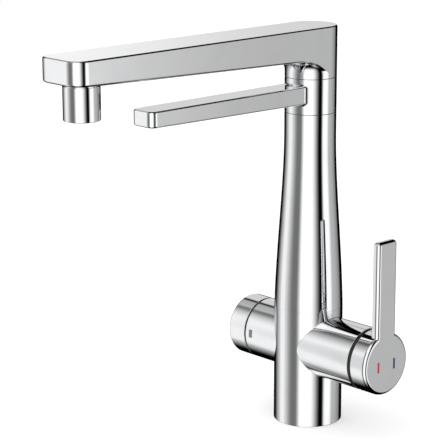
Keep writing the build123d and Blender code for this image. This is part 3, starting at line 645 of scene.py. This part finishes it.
def makeThinArm():
    # as the main arm, but near the collar its rows follow the collar's circle, y = -sqrt(R^2 - x^2), and spread
    # outwards by a quarter-round fillet
    size = thinArm
    half, top, reach = size["half"], thinHigh[2] + size["rise"], -thinLow[1]
    edge, fillet, straightY = size["edge"], size["fillet"], size["straightY"]
    underZ = top - size["rootThick"]
    slope = (size["rootThick"] - size["tipThick"]) / reach
    low = np.array([0, -slope, -1.0]) / math.hypot(1, slope)
    # rows along the side: away = distance from the collar, then even steps to the far corner
    away = np.concatenate(([-size["sunk"]], fillet * (1 - np.cos(np.linspace(0, 90, 9) * deg))))
    ease = np.linspace(0, 1, 7)[1:]
    sideY = np.linspace(straightY, size["corner"] - reach, 17)[1:]
    collarRows, nearRows = len(away), len(away) + len(ease)
    p, n, rowCount = armOutline(half, reach, size["corner"], np.concatenate((np.zeros(nearRows), sideY)))
    n = np.column_stack((n, np.zeros(len(n))))[:, None]
    left = (fillet - np.clip(away, 0, fillet))[:, None, None]
    spread = fillet - np.sqrt(fillet ** 2 - left ** 2)
    lean = left / fillet

    def collarY(x):
        return -np.sqrt(columnR ** 2 - x ** 2)

    def easeY(x):  # from the end of the fillet to the straight row
        return (collarY(x) - fillet) * (1 - ease) + straightY * ease

    def shaped(x, y, z, facing):
        points = np.stack(np.broadcast_arrays(x, y, z), axis=2)
        normals = np.broadcast_to(facing, points.shape).copy()
        near, nearOut = points[:collarRows], normals[:collarRows]
        near += spread * nearOut
        near[..., 1] = collarY(near[..., 0]) - away[:, None]
        nearOut[:] = nearOut * np.sqrt(1 - lean ** 2) + unit(near * [1, 1, 0]) * lean
        middle = points[collarRows:nearRows]
        middle[..., 1] = easeY(middle[..., 0].T).T
        return grid(points, unit(normals)), points

    cos, sin = np.cos(edgeTurn), np.sin(edgeTurn)
    bent = cos[:, None] * n
    inset = edge * (1 - cos)
    insetX, insetY = p[:, :1] - inset * n[:, :, 0], p[:, 1:] - inset * n[:, :, 1]
    rim = p - edge * n[:, 0, :2]
    rimX, rimY = rim[:rowCount].T[..., None]
    under = (underZ - slope * np.concatenate((collarY(half) - away, easeY(half), p[nearRows:, 1])))[:, None]
    share = np.linspace(0, 1, 4)
    topEdge, _ = shaped(insetX, insetY, top - edge + edge * sin, bent + sin[:, None] * upward)
    topFace, _ = shaped(rimX * columnShare, rimY, top, upward)
    lowEdge, _ = shaped(insetX, insetY, under + edge * (1 - sin), bent + sin[:, None] * low)
    wall, _ = shaped(p[:, :1], p[:, 1:], (top - edge) * (1 - share) + (under + edge) * share, n)
    lowFace, bottom = shaped(rimX[:nearRows] * columnShare, rimY[:nearRows], under[:nearRows], low)
    right = [topEdge, topFace, lowEdge, wall, lowFace]
    patches = right + mirrored(right)
    # flat underside from the straight row outwards, with the outlet's hole
    outer = np.column_stack((rim, under))[nearRows - 1:]
    outer[0, 1] = straightY
    row = bottom[nearRows - 1]
    outline = np.concatenate((outer, outer[-2::-1] * mirrorX, row[-2::-1] * mirrorX, row[1:-1]))
    hole, sides = blindHole(size["outletR"], size["outletInset"] - reach, size["outletTop"],
                            lambda y: underZ - slope * y)
    patches += [flatFace([outline, hole], low)] + sides
    # closed inside the collar: the first row of every strip meets at one point
    middle = np.array([0, size["closeAt"] - columnR, (top + underZ) / 2])
    columns, steps = armMesh["columns"], armMesh["edgeSteps"] - 1
    loop = np.concatenate((firstRow(topFace, columns), firstRow(topEdge, steps)[::-1],
                           firstRow(wall, len(share) - 1), firstRow(lowEdge, steps),
                           firstRow(lowFace, columns)[::-1]))
    for side in (loop, loop * mirrorX):
        patches.append(grid(np.stack((side, np.broadcast_to(middle, side.shape))), backward))
    piece("filterSpout", patches, "filter_swivel", "chrome", "filter_spout")


def firstRow(patch, count):  # of points, of a grid patch with that many quads in a row
    corners = patch[0][:count]
    return np.concatenate((corners[:, 0], corners[-1:, 3]))


# ---------- nozzle ----------
nozzle = {"less": 0.35, "wall": 1.85, "mouth": 0.3, "lip": 0.5, "shoulder": 0.3, "neckR": 10.97,
          "neckFoot": 0.1, "neckTop": 0.3, "neckMouth": 0.2, "innerR": 8.5, "shelf": 15.0, "thread": 7.1}


def makeNozzle():
    # turned: a barrel open below, and a narrower neck that screws into the arm's socket
    size = nozzle
    r, threadR, innerR = nozzleHigh[0] - size["less"], size["neckR"], size["innerR"]
    low, high = nozzleLow[2], nozzleHigh[2]
    shoulder, shelf = high - size["thread"], low + size["shelf"]
    line = profile([(r - size["wall"], shelf, 0), (r - size["wall"], low, size["mouth"]), (r, low, size["lip"]),
                    (r, shoulder, size["shoulder"]), (threadR, shoulder, size["neckFoot"]),
                    (threadR, high, size["neckTop"]), (innerR, high, size["neckMouth"]), (innerR, shelf, 0)],
                   closed=True)
    place = np.eye(3), np.array([0, (nozzleLow[1] + nozzleHigh[1]) / 2, 0])
    piece("aeratorHousing", [spin(line, place=place)], "main_swivel", "chrome", "aerator_housing")


# ---------- handle cap and filter knob ----------
hub = {"hubR": 6.5, "boreR": 4.03, "plugR": 1.9, "panel": 14.0, "soft": 0.3}
cap = {**hub, "inset": 1.5, "rimEdge": 0.3, "faceEdge": 0.06, "innerR": 21.9, "roof": 74.7, "hubLow": 64.0,
       "boreTop": 71.2, "plugAt": 68.0, "panelRise": 2.1}
knob = {**hub, "rimEdge": 0.4, "faceEdge": 1.6, "innerR": 21.0, "roof": 59.8, "hubLow": 47.7,
        "boreTop": 56.8, "plugAt": 51.7, "panelRise": 2.8}


def makeCup(name, size, low, high, place, body, node):
    # a turned cup with a hub inside: its side wall has a small screw hole on the underside
    under = 0 if place is mixerSide else math.pi
    half = size["panel"]
    around = np.concatenate((np.linspace(-half, half, 17), np.linspace(half, 360 - half, 121)[1:]))
    around = around * deg + under
    nearHole, elsewhere = around[:17], around[16:]
    innerR, roof, soft = size["innerR"], size["roof"], size["soft"]
    holeR, holeZ = size["plugR"], size["plugAt"]
    bottom, top = low + size["rimEdge"], high - size["faceEdge"]
    heights = np.linspace(holeZ - size["panelRise"], holeZ + size["panelRise"], 9)

    def rim(r):  # of the hole in a wall of radius r: its angle and height as a function of t
        return lambda t: (under + np.arcsin(holeR * np.sin(t) / r), holeZ + holeR * np.cos(t))

    def wall(r, side, levels, angles):  # side is 1 where the wall faces outwards, -1 where it faces the axis
        return spin((pairs(r, levels), np.tile([side, 0.0], (len(levels), 1))), angles)

    panel, t = holedPanel(neckR, nearHole, heights, rim(neckR))
    (points, normals), _ = holedPanel(innerR, nearHole, heights, rim(innerR), t)
    (a, h), (innerA, innerH) = rim(neckR)(t), rim(innerR)(t)
    outer, inner = polar(a, neckR, h), polar(innerA, innerR, innerH)
    patches = [panel, (points, -normals)]
    patches.append(grid(np.stack((outer, inner)), unit([0, 0, holeZ] + outer * [1, 0, 0] - outer)))
    for r, side, end in ((neckR, 1, top), (innerR, -1, roof)):
        patches += [wall(r, side, [bottom, heights[0]], nearHole),
                    wall(r, side, [heights[-1], end], nearHole),
                    wall(r, side, [bottom, *heights, end], elsewhere)]
    face = [(neckR, top, 0), (neckR, high, size["faceEdge"]), (0, high, 0)]
    lip = [(innerR, bottom, 0), (innerR, low, soft), (neckR, low, size["rimEdge"]), (neckR, bottom, 0)]
    inside = [(0, size["boreTop"], 0), (size["boreR"], size["boreTop"], 0),
              (size["boreR"], size["hubLow"], soft), (size["hubR"], size["hubLow"], soft),
              (size["hubR"], roof, 0), (innerR, roof, 0)]
    patches += [spin(profile(line), around) for line in (face, lip, inside)]
    piece(name, [put(patch, place) for patch in patches], body, "chrome", node)


# ---------- lever ----------
lever = {"plate": 3.3, "thick": 5.8, "width": 20.6, "rise": 93.0, "corner": 3.2, "front": 3.0, "back": 0.8,
         "crook": 0.25}


def leverOutline(size, discR):
    # seen from the front, (sideways, up) from the handle's axis: disc, concave crook, paddle side, round
    # corner, level top, and the same again mirrored. The crook's circle touches the disc and the paddle's side
    half, corner, crook, rise = size["width"] / 2, size["corner"], size["crook"], size["rise"]
    bendAt = math.sqrt((discR + crook) ** 2 - (half + crook) ** 2)
    meet = math.atan2(bendAt, half + crook)
    turns = (np.linspace(-90 * deg, meet, 61), np.linspace(meet + math.pi, math.pi, 7)[1:],
             np.linspace(0, 90, 10)[1:] * deg)
    disc, inward, bend = (pairs(np.cos(a), np.sin(a)) for a in turns)
    side, top = np.linspace(bendAt, rise - corner, 9), np.linspace(half - corner, 0, 4)[1:]
    line = np.concatenate((discR * disc, [half + crook, bendAt] + crook * inward, pairs(half, side),
                           [half - corner, rise - corner] + corner * bend, pairs(top, rise)))
    out = np.concatenate((disc, -inward, np.tile([1.0, 0.0], (len(side), 1)), bend,
                          np.tile([0.0, 1.0], (len(top), 1))))
    flip = np.array([-1, 1])
    seatAt = len(disc) + len(inward)
    return np.concatenate((line, line[-2:0:-1] * flip)), np.concatenate((out, out[-2:0:-1] * flip)), seatAt


def makeLever():
    # a disc's plate in front of the cap, and the thicker paddle, which sits over the cap's round wall. Each
    # rounded edge is a quarter turn: inset by edge (1 - cos s) while it comes forward by edge sin s
    size = lever
    frontX, frontEdge, backEdge = leverHigh[0], size["front"], size["back"]
    plateX, backX = frontX - size["plate"], frontX - size["thick"]
    line, out, seatAt = leverOutline(size, leverHigh[1])
    count = len(line)
    seatR = math.hypot(*line[seatAt])
    loop = np.append(np.arange(count), 0)

    def at(flat, x):  # (sideways, up) to the row frame
        return np.stack(np.broadcast_arrays(x, flat[..., 0], flat[..., 1] + axisZ), axis=-1)

    def facing(flat, forward):
        return np.stack(np.broadcast_arrays(forward, flat[..., 0], flat[..., 1]), axis=-1)

    s = np.linspace(0, 90, 9)[:, None] * deg
    bevel = line[loop] - frontEdge * (1 - np.cos(s))[..., None] * out[loop]
    front = at(bevel, frontX - frontEdge * (1 - np.sin(s)))
    wall = np.stack((at(line[loop], frontX - frontEdge), at(line[loop], plateX)))
    patches = [grid(front, unit(facing(np.cos(s)[..., None] * out[loop], np.sin(s)))),
               flatFace([front[-1][:-1]], np.array([1.0, 0, 0])), grid(wall, facing(out[loop], 0.0))]
    # paddle behind the disc's plate: sides and top, back edge, back face, and the round seat over the cap
    section = np.arange(seatAt, count - seatAt + 1)
    side, sideOut = line[section], out[section]
    s = np.linspace(0, 90, 7)[:, None] * deg
    rounded = side - backEdge * (1 - np.cos(s))[..., None] * sideOut
    depth = backX + backEdge * (1 - np.sin(s))
    for end in (0, -1):
        rounded[:, end, 1] = np.sqrt(seatR ** 2 - rounded[:, end, 0] ** 2)
    back = at(rounded, depth)
    wall = np.stack((at(side, plateX), at(side, backX + backEdge)))
    patches += [grid(back, unit(facing(np.cos(s)[..., None] * sideOut, -np.sin(s)))),
                grid(wall, facing(sideOut, 0.0))]
    rowX = np.concatenate(([plateX], depth[:, 0]))
    halfWidth = np.concatenate(([side[0, 0]], rounded[:, 0, 0]))
    sideways = halfWidth[:, None] * np.linspace(1, -1, 25)
    arc = pairs(sideways, np.sqrt(seatR ** 2 - sideways ** 2))
    seat = at(arc, rowX[:, None])
    patches.append(grid(seat, facing(-arc / seatR, 0.0)))
    lower = np.concatenate((np.arange(count - seatAt, count), np.arange(0, seatAt + 1)))
    for outline in ((back[-1], seat[-1][-2:0:-1]), (at(line[lower], plateX), seat[0][1:-1])):
        patches.append(flatFace([np.concatenate(outline)], np.array([-1.0, 0, 0])))
    piece("leverPaddle", patches, "mixer_handle", "chrome", "lever")


# ---------- enamel marks ----------
mark = {"proud": 0.04, "sunk": 0.1, "edge": 0.12, "corner": 0.35}


def roundedBar(wide, tall, corner):
    # four quarter circles with straight sides of nine steps, so that a bar can be bent round a neck
    a = np.linspace(0, 90, 5) * deg
    quarter = pairs(np.cos(a), np.sin(a))
    turns = [quarter * [1, 1], quarter[::-1] * [-1, 1], quarter * [-1, -1], quarter[::-1] * [1, -1]]
    centres = np.array([(1, 1), (-1, 1), (-1, -1), (1, -1)]) * (wide / 2 - corner, tall / 2 - corner)
    arcs = centres[:, None] + corner * np.array(turns)
    t = np.linspace(0, 1, 10)[1:-1, None]
    line, out = [], []
    for k in range(4):
        start, end = arcs[k, -1], arcs[(k + 1) % 4, 0]
        line += [arcs[k], start + (end - start) * t]
        out += [turns[k], np.tile(turns[k][-1], (len(t), 1))]
    return np.concatenate(line), np.concatenate(out)


def makeMark(name, node, body, slotName, onLever):
    # a bar of enamel, a hair proud, with a soft edge: laid on the lever's face, or bent round the filter side's
    # neck, where (sideways, up) becomes (x, angle = arcsin(up / neck radius))
    size = mark
    low, high = nodeBox(node)
    middle = (low + high) / 2
    line, out = roundedBar((high - low)[1 if onLever else 0], high[2] - low[2], size["corner"])
    loop = np.append(np.arange(len(line)), 0)
    s = np.linspace(0, 90, 5)[:, None] * deg
    inset = np.concatenate(([[0.0]], size["edge"] * (1 - np.cos(s))))
    rings = line[loop] - inset[..., None] * out[loop]
    flat = np.concatenate([rings] + [rings[-1:] * k for k in (0.75, 0.5, 0.25, 0)])
    lift = np.concatenate(([[-size["sunk"]]], size["proud"] * np.sin(s), np.full((4, 1), size["proud"])))
    tilt = np.concatenate(([[0.0]], s, np.full((4, 1), 90 * deg)))
    sideways, rise = (np.cos(tilt) * along for along in out[loop].T)
    if onLever:
        points = high[0] + lift, middle[1] + flat[..., 0], middle[2] + flat[..., 1]
        normals = np.sin(tilt), sideways, rise
    else:
        angle = np.arcsin((middle[2] - axisZ + flat[..., 1]) / neckR)
        r = neckR + lift
        points = middle[0] + flat[..., 0], -r * np.cos(angle), axisZ + r * np.sin(angle)
        normals = (sideways, rise * np.sin(angle) - np.sin(tilt) * np.cos(angle),
                   rise * np.cos(angle) + np.sin(tilt) * np.sin(angle))
    points, normals = (np.stack(np.broadcast_arrays(*axes), axis=2) for axes in (points, normals))
    under = points[:1]
    back = np.concatenate((under, np.broadcast_to(under[:, :-1].mean(axis=1, keepdims=True), under.shape)))
    behind = np.array([-1.0, 0, 0]) if onLever else backward
    piece(name, [grid(points, unit(normals)), grid(back, behind)], body, slotName, node)


makeLowerBody()
makeColumn()
makeCollar()
makeMainArm()
makeThinArm()
makeNozzle()
makeCup("handleCap", cap, capLow[0] + cap["inset"], capHigh[0], mixerSide, "mixer_handle", "handle_cap")
makeCup("filterKnob", knob, -knobHigh[0], -knobLow[0], filterSide, "filter_handle", "filter_knob")
makeLever()
makeMark("hotMark", "hot_mark", "mixer_handle", "red", onLever=True)
makeMark("coldMark", "cold_mark", "mixer_handle", "blue", onLever=True)
makeMark("filterMark", "filter_mark", "tap_body", "grey", onLever=False)
print("pieces made")

# ---------- camera: place, pan and pitch as the photograph shows them ----------
view = {"place": (0.92993, -0.95962, 0.48917), "heading": 43.15, "pitch": 14.15, "roll": -0.1, "lens": 147.07,
        "sensor": 36, "clip": 0.05}


def makeCamera():
    camera = addObject("camera", bpy.data.cameras.new("camera"))
    camera.data.lens = view["lens"]
    camera.data.sensor_width = view["sensor"]
    camera.data.clip_start = view["clip"]
    h, p, r = view["heading"] * deg, view["pitch"] * deg, view["roll"] * deg
    forward = Vector((-math.cos(p) * math.cos(h), math.cos(p) * math.sin(h), -math.sin(p)))
    level = Vector((math.sin(h), math.cos(h), 0))
    up = level.cross(forward)
    right = math.cos(r) * level + math.sin(r) * up
    top = -math.sin(r) * level + math.cos(r) * up
    turn = Matrix((right, top, -forward)).transposed()
    camera.matrix_world = Matrix.Translation(view["place"]) @ turn.to_4x4()
    bpy.context.scene.camera = camera


# ---------- studio: what the chrome reflects ----------
# each card is a soft edged sheet of light: bearing in degrees from the photograph's camera, + to its right, as
# (starts, full, full, ends), its elevation in the same way, and its strength
studio = {
    "window": ((-46, -23, 3, 38), (-74, -38, 34, 52), 1.15),
    "skylight": ((-90, -50, 4, 27), (36, 50, 62, 76), 1.10),
    "leftStrip": ((-115, -106, -92, -87), (-66, -32, 20, 58), 0.22),
    "leftSheet": ((-148, -105, -88, -58), (-66, -32, 20, 58), 0.75),
    "leftCard": ((-80, -60, -30, 10), (-60, -40, 34, 52), 0.18),
    "rightStrip": ((46, 59, 74, 88.5), (-37, -29, 6, 34), 0.60),
    "rightCard": ((46, 59, 76, 84), (-37, -29, 14, 54), 0.50),
    "rightSheet": ((76, 84, 92, 140), (-42, -31, 18, 34), 0.33),
    "rightEnd": ((76, 84, 127, 133), (-42, -31, 18, 34), 0.17),
}
# the same for what stands behind the tap, its bearing counted from straight behind it, + to the left
backdrop = {
    "wall": ((-14, -9, 12, 19), (-3, 3, 24, 31), 0.70),
    "wallTop": ((-2, 3, 12, 19), (24, 31, 48, 60), 0.70),
    "shelf": ((-3, 6, 12, 19), (1, 5, 9.2, 9.9), 0.27),
    "corner": ((19, 30, 50, 62), (32, 40, 55, 66), 0.45),
}
room = {"ceilingFrom": 66, "ceilingTo": 82, "ceiling": 0.4, "dark": 0.0008, "plain": 1.0}


def makeStudio():
    # chrome sees the cards; whatever isn't a mirror is lit by the plain room, and the camera sees white
    world = bpy.data.worlds.new("studio")
    bpy.context.scene.world = world
    world.use_nodes = True
    graph = Graph(world.node_tree)
    way = graph.node("TexCoord", out=0)
    h = view["heading"] * deg

    def along(x, y):
        return graph.node("VectorMath", {"operation": "DOT_PRODUCT"}, {0: way, 1: (x, y, 0)}, out=1)

    toCamera, toRight = along(math.cos(h), -math.sin(h)), along(math.sin(h), math.cos(h))
    rise = graph.node("SeparateXYZ", None, {0: way}, out=2)
    bearing = way.math("ARCTAN2", toRight, toCamera) / deg
    behind = way.math("ARCTAN2", toRight * -1, toCamera * -1) / deg
    elevation = graph.node("Math", {"operation": "ARCSINE"}, {0: rise}) / deg

    def between(where, inA, inB, outA, outB):  # up over inA..inB and down again over outA..outB
        return graph.fade(where, inA, inB) * graph.fade(where, outA, outB, 1.0, 0.0)

    level = graph.fade(elevation, room["ceilingFrom"], room["ceilingTo"]) * room["ceiling"] + room["dark"]
    for cards, turn in ((studio, bearing), (backdrop, behind)):
        for bearings, elevations, strength in cards.values():
            level = level + between(turn, *bearings) * between(elevation, *elevations) * strength
    camera, glossy = graph.node("LightPath", out=0), graph.node("LightPath", out=3)
    strength = (glossy * level + (1 - glossy) * room["plain"]) * (1 - camera) + camera
    back = graph.node("Background", None, {"Color": (1, 1, 1, 1), "Strength": strength})
    graph.node("OutputWorld", None, {"Surface": back})


floorLook = {"half": 2.0, "tone": (0.8, 0.8, 0.8, 1), "glow": 0.32}
lampLook = {"size": 1.2, "energy": 6.0, "place": (-0.4, -0.8, 1.6), "aim": (0, 0, 0.15)}


def makeFloor():
    # pale floor: white to the camera where it is lit, and it keeps the tap's soft shadow
    mesh = bpy.data.meshes.new("floor")
    half = floorLook["half"]
    corners = [(-half, -half, 0), (half, -half, 0), (half, half, 0), (-half, half, 0)]
    mesh.from_pydata(corners, [], [(0, 1, 2, 3)])
    floor = addObject("floor", mesh)

    def build(graph):
        camera = graph.node("LightPath", out=0)
        matt = graph.node("BsdfDiffuse", None, {"Color": floorLook["tone"]})
        glow = graph.node("Emission", None, {"Color": (1, 1, 1, 1), "Strength": camera * floorLook["glow"]})
        return graph.node("AddShader", None, {0: matt, 1: glow})

    mesh.materials.append(material("paleFloor", build))
    floor.visible_glossy = False


def makeLamp():
    lamp = addObject("softLamp", bpy.data.lights.new("softLamp", "AREA"))
    lamp.data.size = lampLook["size"]
    lamp.data.energy = lampLook["energy"]
    lamp.location = lampLook["place"]
    lamp.rotation_euler = (Vector(lampLook["aim"]) - lamp.location).to_track_quat("-Z", "Y").to_euler()
    lamp.visible_glossy = False


makeCamera()
makeStudio()
makeFloor()
makeLamp()
bpy.context.scene.view_settings.view_transform = "Standard"
print("stage set")
